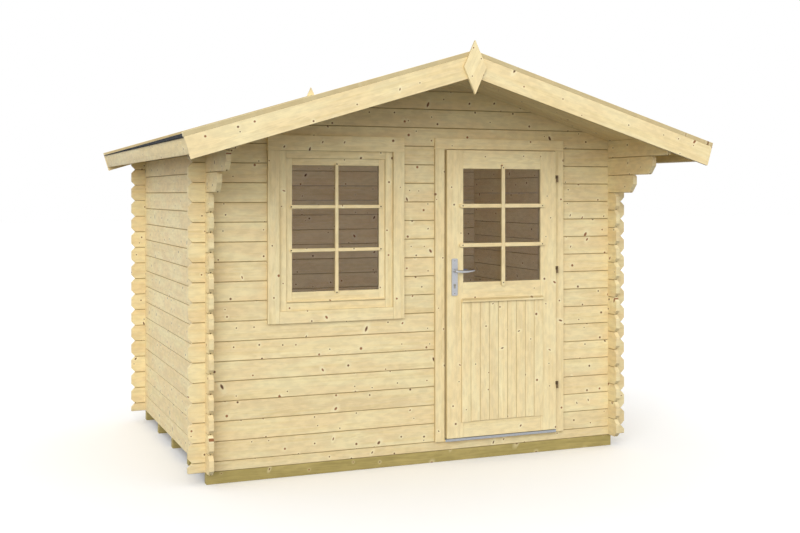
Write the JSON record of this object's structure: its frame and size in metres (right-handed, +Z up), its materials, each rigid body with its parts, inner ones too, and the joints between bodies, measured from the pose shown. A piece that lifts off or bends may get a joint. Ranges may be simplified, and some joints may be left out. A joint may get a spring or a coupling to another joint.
{
  "type": "garden house",
  "caption": "Log garden house with crossed-corner plank walls, a felted ridge roof with a deep front overhang, one glazed hinged door and one window.",
  "frame": {"origin": "on the ground under the centre of the whole house, roof included", "axes": "+Z up, the front with the door faces -Y, +X to the right as seen from the front"},
  "size_m": [3.252, 2.992, 2.513],
  "materials": {
    "log_wood": "planed spruce, untreated",
    "trim_wood": "planed spruce boards",
    "joinery_wood": "planed spruce joinery",
    "floor_wood": "planed spruce floor boards",
    "roof_wood": "planed spruce roof boards",
    "bearer_wood": "pressure-treated pine, olive",
    "roof_felt": "mineral bitumen felt",
    "tinted_glass": "clear pane over a dark room",
    "plate_metal": "dull aluminium",
    "hinge_metal": "bronze-coloured steel",
    "handle_metal": "satin silver",
    "lock_metal": "nickel-plated brass"
  },
  "bodies": {
    "house": {"bearers": "bearer_wood", "floor": "floor_wood", "left_wall": "log_wood", "right_wall": "log_wood", "back_wall": "log_wood", "back_gable": "log_wood", "front_sill_log": "log_wood", "front_wall_left": "log_wood", "front_wall_right": "log_wood", "front_gable": "log_wood", "ridge_beam": "roof_wood", "roof_deck_left": "roof_wood", "roof_deck_right": "roof_wood", "roof_felt_left": "roof_felt", "roof_felt_right": "roof_felt", "eave_boards": "trim_wood", "front_barge_boards": "trim_wood", "back_barge_boards": "trim_wood", "front_cap_strips": "trim_wood", "back_cap_strips": "trim_wood", "finials": "trim_wood", "window_frame": "joinery_wood", "window_sash": "joinery_wood", "window_glass": "tinted_glass", "window_trim_outer": "trim_wood", "window_trim_inner": "trim_wood", "window_drip_bead": "trim_wood", "door_frame": "joinery_wood", "door_trim_outer": "trim_wood", "door_trim_inner": "trim_wood", "door_threshold": "joinery_wood", "threshold_plate": "plate_metal", "frame_hinges": "hinge_metal"},
    "door": {"door_stile_left": "joinery_wood", "door_stile_right": "joinery_wood", "door_top_rail": "joinery_wood", "door_lock_rail": "joinery_wood", "door_bottom_rail": "joinery_wood", "door_panel": "joinery_wood", "door_drip_strip": "trim_wood", "door_glass": "tinted_glass", "leaf_hinges": "hinge_metal", "handle_plates": "handle_metal", "lock_cylinder": "lock_metal"},
    "handle": {"door_handle": "handle_metal"}
  },
  "joints": [
    {"name": "door_swing", "type": "hinge", "parent": "house", "child": "door", "pos_m": [0.9145, -0.822, 0.148], "axis": [0, 0, 1], "range_deg": [0, 100]},
    {"name": "handle_turn", "type": "hinge", "parent": "door", "child": "handle", "pos_m": [0.188, -0.822, 1.182], "axis": [0, 1, 0], "range_deg": [0, 35], "stiffness_Nm_per_rad": 1.5, "springref_deg": -17.19}
  ]
}
